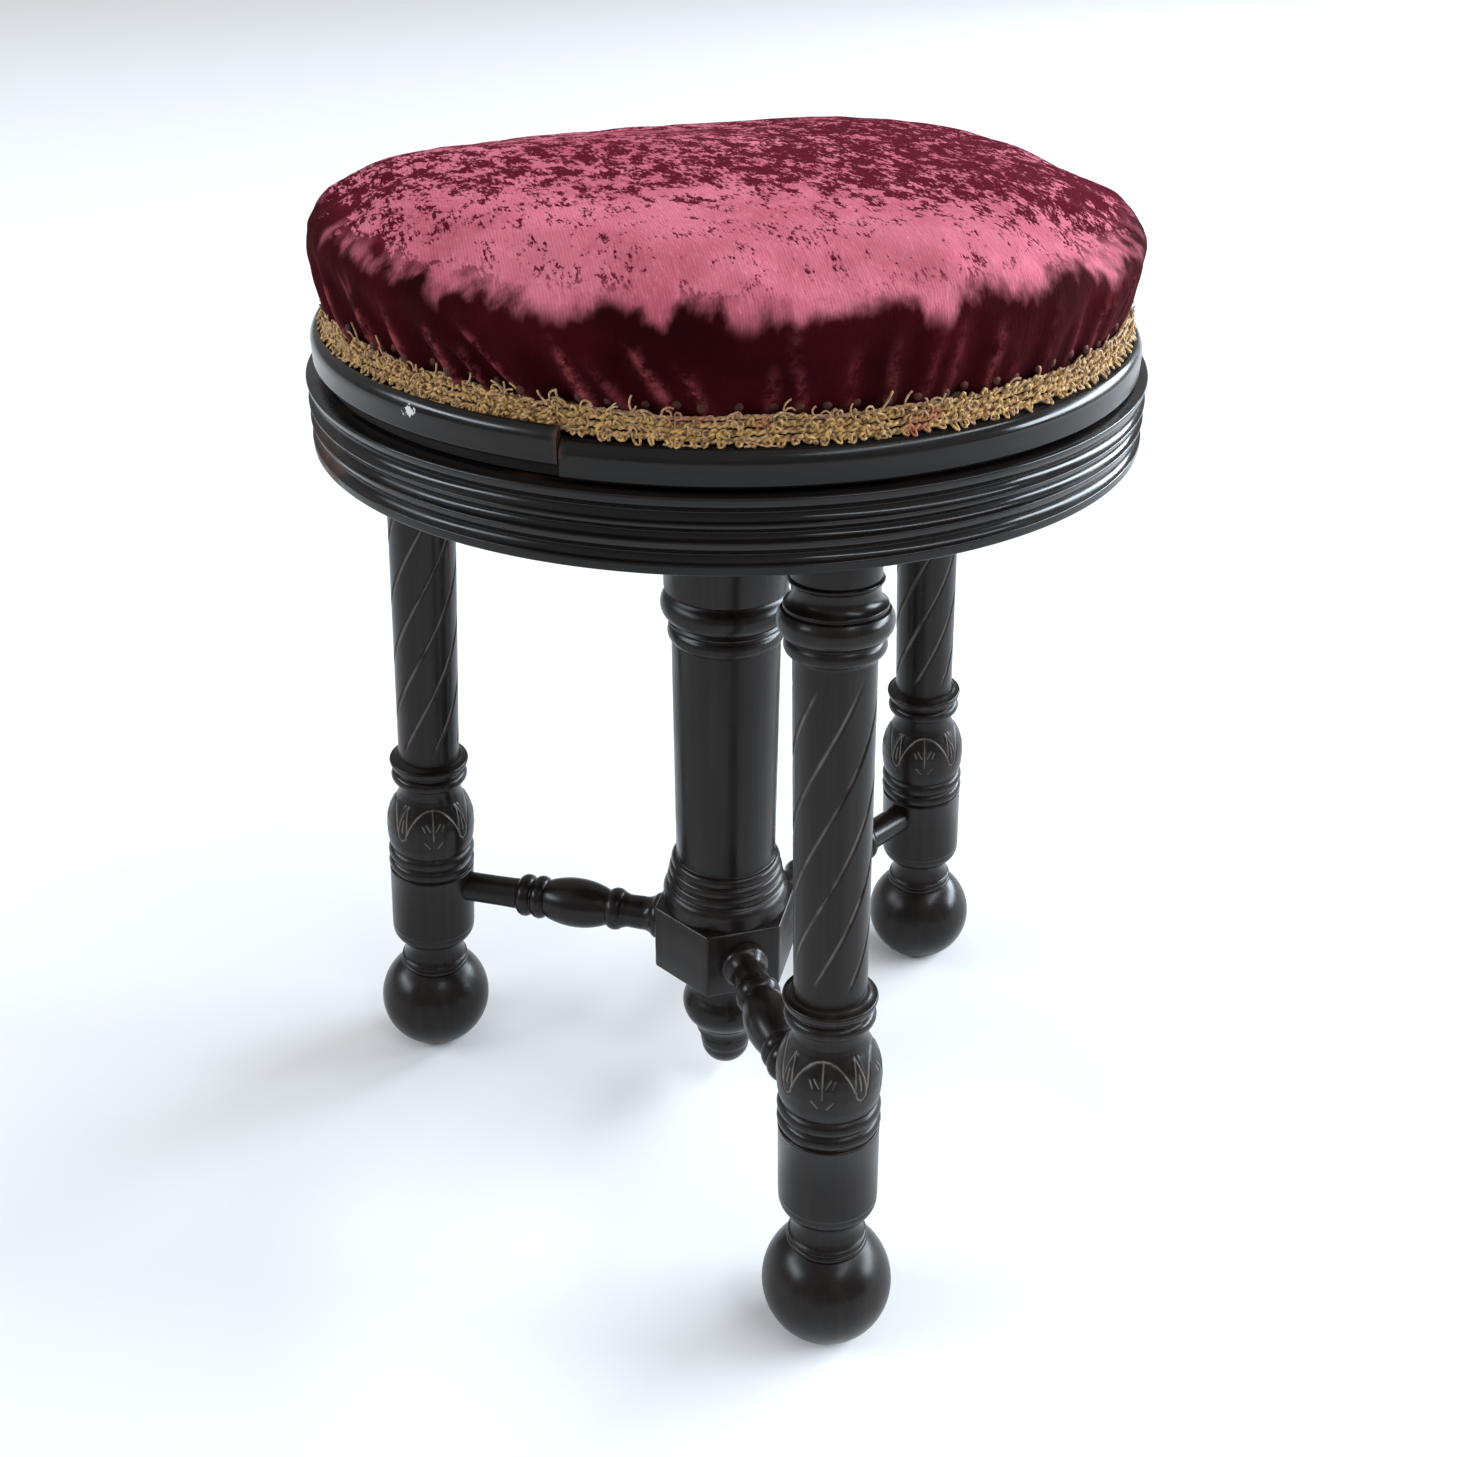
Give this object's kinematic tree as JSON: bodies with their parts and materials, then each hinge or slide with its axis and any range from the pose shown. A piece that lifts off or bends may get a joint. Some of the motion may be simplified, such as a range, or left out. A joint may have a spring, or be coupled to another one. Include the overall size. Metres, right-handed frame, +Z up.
{
  "type": "piano stool",
  "caption": "Round piano stool: a stuffed velvet seat that rises on a screw, a moulded apron, splayed turned legs with ball feet, and turned stretchers to a centre column.",
  "frame": {"origin": "on the floor under the column, on the axis of the seat's screw", "axes": "+Z up along the screw, -Y towards the front leg, +X towards the right leg's side"},
  "size_m": [0.352, 0.3747, 0.49],
  "materials": {
    "ebonised_wood": "satin black polish over fruitwood",
    "bare_wood": "bare stained wood",
    "iron": "oiled dark iron",
    "screw_steel": "dull",
    "washer_leather": "greased",
    "horsehair": "matted",
    "velvet": "crushed pile",
    "gimp": "frayed braid"
  },
  "bodies": {
    "base": {"front_leg": "ebonised_wood", "left_leg": "ebonised_wood", "right_leg": "ebonised_wood", "front_stretcher": "ebonised_wood", "left_stretcher": "ebonised_wood", "right_stretcher": "ebonised_wood", "stretcher_hub": "ebonised_wood", "centre_column": "ebonised_wood", "drop_finial": "ebonised_wood", "top_board": "bare_wood", "apron_ring": "ebonised_wood", "screw_nut": "iron", "nut_screws": "screw_steel"},
    "washer": {"leather_washer": "washer_leather"},
    "seat": {"seat_screw": "iron", "stop_collar": "iron", "stop_pin": "screw_steel", "seat_plate": "iron", "seat_plate_screws": "screw_steel", "seat_board": "bare_wood", "front_rim": "ebonised_wood", "back_rim": "ebonised_wood", "left_rim": "ebonised_wood", "seat_stuffing": "horsehair", "velvet_cover": "velvet", "gimp_braid": "gimp"}
  },
  "joints": [
    {"name": "seat_turn", "type": "hinge", "parent": "base", "child": "washer", "pos_m": [0, 0, 0.4047], "axis": [0, 0, 1], "range_deg": [0, 4320]},
    {"name": "seat_rise", "type": "slide", "parent": "washer", "child": "seat", "axis": [0, 0, 1], "range_m": [0, 0.12]}
  ],
  "couplings": [
    {"joint": "seat_rise", "follows": "seat_turn", "m_per_rad": 0.0015915}
  ]
}
